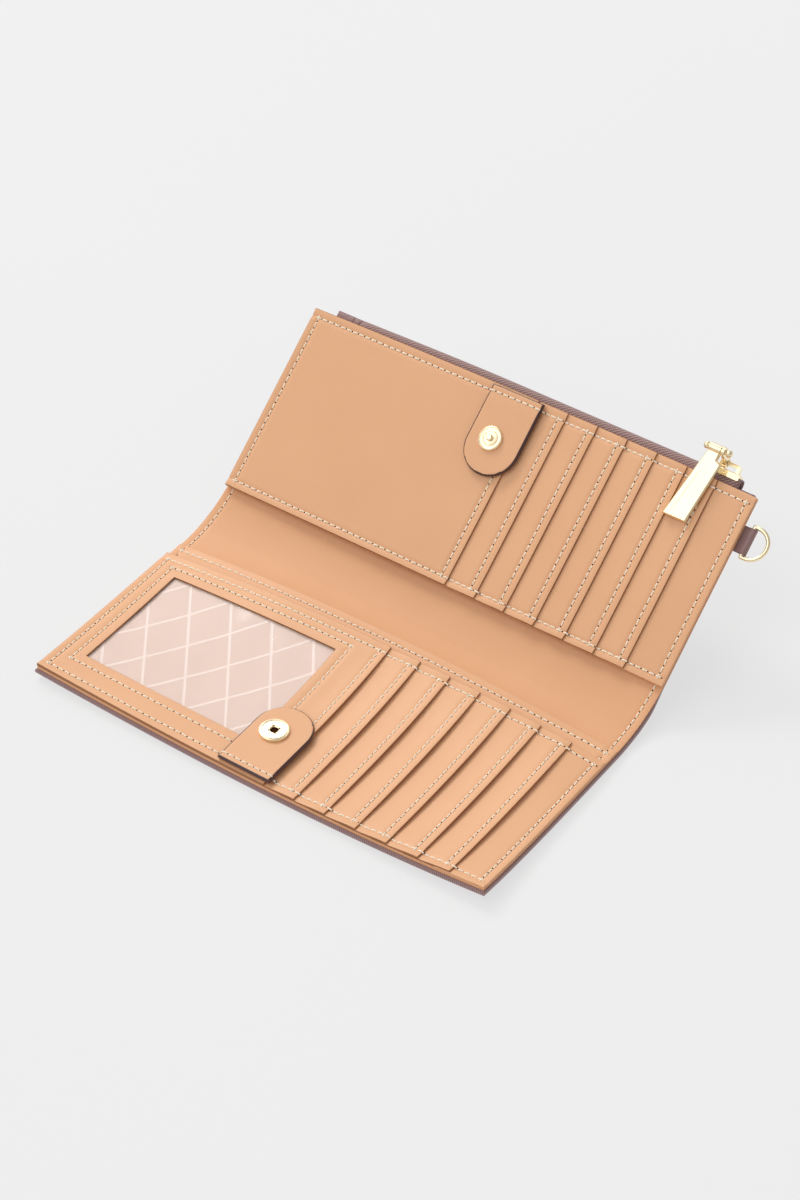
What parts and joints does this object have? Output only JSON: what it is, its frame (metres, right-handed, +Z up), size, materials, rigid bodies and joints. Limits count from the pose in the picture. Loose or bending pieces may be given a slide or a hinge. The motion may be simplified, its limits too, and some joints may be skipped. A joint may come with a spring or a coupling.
{
  "type": "wristlet wallet",
  "caption": "Open bifold wristlet wallet with card pockets, an identity window, a snap closure, a zipped coin pocket and a ring for a wrist strap.",
  "frame": {"origin": "middle of the open wallet's footprint, on the surface that it lies on", "axes": "+X along the folds towards the strap ring, +Y from the flat half towards the leaning half, +Z up"},
  "size_m": [0.202, 0.181, 0.0672],
  "materials": {
    "cover_leather": "fine crosshatch grain, mauve brown",
    "panel_leather": "smooth, light tan",
    "gutter_lining": "smooth, light tan, a little darker",
    "satin_lining": "satin, pale pink",
    "stiffener_board": "pressed board",
    "clear_film": "clear film",
    "gold_hardware": "polished pale gold",
    "zip_tape": "woven tape, mauve brown",
    "zip_coil": "nylon coil, mauve brown"
  },
  "bodies": {
    "near_half": {"outer_cover_near": "cover_leather", "near_board": "stiffener_board", "near_lining": "gutter_lining", "near_slip_panel": "panel_leather", "id_frame": "panel_leather", "id_window_film": "clear_film", "id_pocket_lining": "satin_lining", "socket_tab_base": "panel_leather", "near_card_pocket_1": "panel_leather", "near_card_pocket_2": "panel_leather", "near_card_pocket_3": "panel_leather", "near_card_pocket_4": "panel_leather", "near_card_pocket_5": "panel_leather", "near_card_pocket_6": "panel_leather", "near_base_panel": "panel_leather"},
    "spine": {"outer_cover_spine": "cover_leather", "spine_board": "stiffener_board", "spine_lining": "gutter_lining"},
    "socket_tab": {"socket_tab_leather": "panel_leather", "snap_socket": "gold_hardware", "snap_socket_cap": "gold_hardware"},
    "far_half": {"outer_cover_far": "cover_leather", "far_board": "stiffener_board", "far_lining": "gutter_lining", "bill_pocket_wall": "panel_leather", "far_flat_pocket": "panel_leather", "stud_tab_base": "panel_leather", "d_ring_tab": "cover_leather", "far_card_pocket_1": "panel_leather", "far_card_pocket_2": "panel_leather", "far_card_pocket_3": "panel_leather", "far_card_pocket_4": "panel_leather", "far_card_pocket_5": "panel_leather", "far_card_pocket_6": "panel_leather", "far_base_panel": "panel_leather", "coin_lining_outer": "satin_lining", "coin_lining_inner": "satin_lining", "zip_tape_inner": "zip_tape", "zip_tape_outer": "zip_tape", "zip_coil_inner": "zip_coil", "zip_coil_outer": "zip_coil", "zip_stops": "gold_hardware", "zip_end_tab": "cover_leather", "zip_tail": "cover_leather"},
    "stud_tab": {"stud_tab_leather": "panel_leather", "snap_stud": "gold_hardware", "snap_stud_cap": "gold_hardware"},
    "zip_slider": {"zip_slider": "gold_hardware"},
    "pull_link": {"pull_link": "gold_hardware"},
    "zip_pull": {"zip_pull": "gold_hardware", "pull_crossbar": "gold_hardware"},
    "d_ring": {"d_ring": "gold_hardware"}
  },
  "joints": [
    {"name": "near_fold", "type": "hinge", "parent": "near_half", "child": "spine", "pos_m": [-0.00537, -0.00192, 0.0027], "axis": [1, 0, 0], "range_deg": [0, 90]},
    {"name": "far_fold", "type": "hinge", "parent": "spine", "child": "far_half", "pos_m": [-0.00537, 0.01148, 0.0027], "axis": [1, 0, 0], "range_deg": [-35.5, 54]},
    {"name": "socket_tab_lift", "type": "hinge", "parent": "near_half", "child": "socket_tab", "pos_m": [-0.01087, -0.08572, 0.00683], "axis": [-1, 0, 0], "range_deg": [-75, 0]},
    {"name": "stud_tab_lift", "type": "hinge", "parent": "far_half", "child": "stud_tab", "pos_m": [-0.01087, 0.07418, 0.05728], "axis": [1, 0, 0], "range_deg": [-75, 0]},
    {"name": "zip_slide", "type": "slide", "parent": "far_half", "child": "zip_slider", "axis": [1, 0, 0], "range_m": [-0.056, 0]},
    {"name": "link_swing", "type": "hinge", "parent": "zip_slider", "child": "pull_link", "pos_m": [0.07172, 0.08847, 0.05878], "axis": [-1, 0, 0], "range_deg": [0, 75]},
    {"name": "pull_swing", "type": "hinge", "parent": "pull_link", "child": "zip_pull", "pos_m": [0.06855, 0.08589, 0.06552], "axis": [-1, 0, 0], "range_deg": [0, 165]},
    {"name": "ring_swing", "type": "hinge", "parent": "far_half", "child": "d_ring", "pos_m": [0.09273, 0.06957, 0.04562], "axis": [0, 0.7896, 0.6136], "range_deg": [-80, 80]}
  ]
}
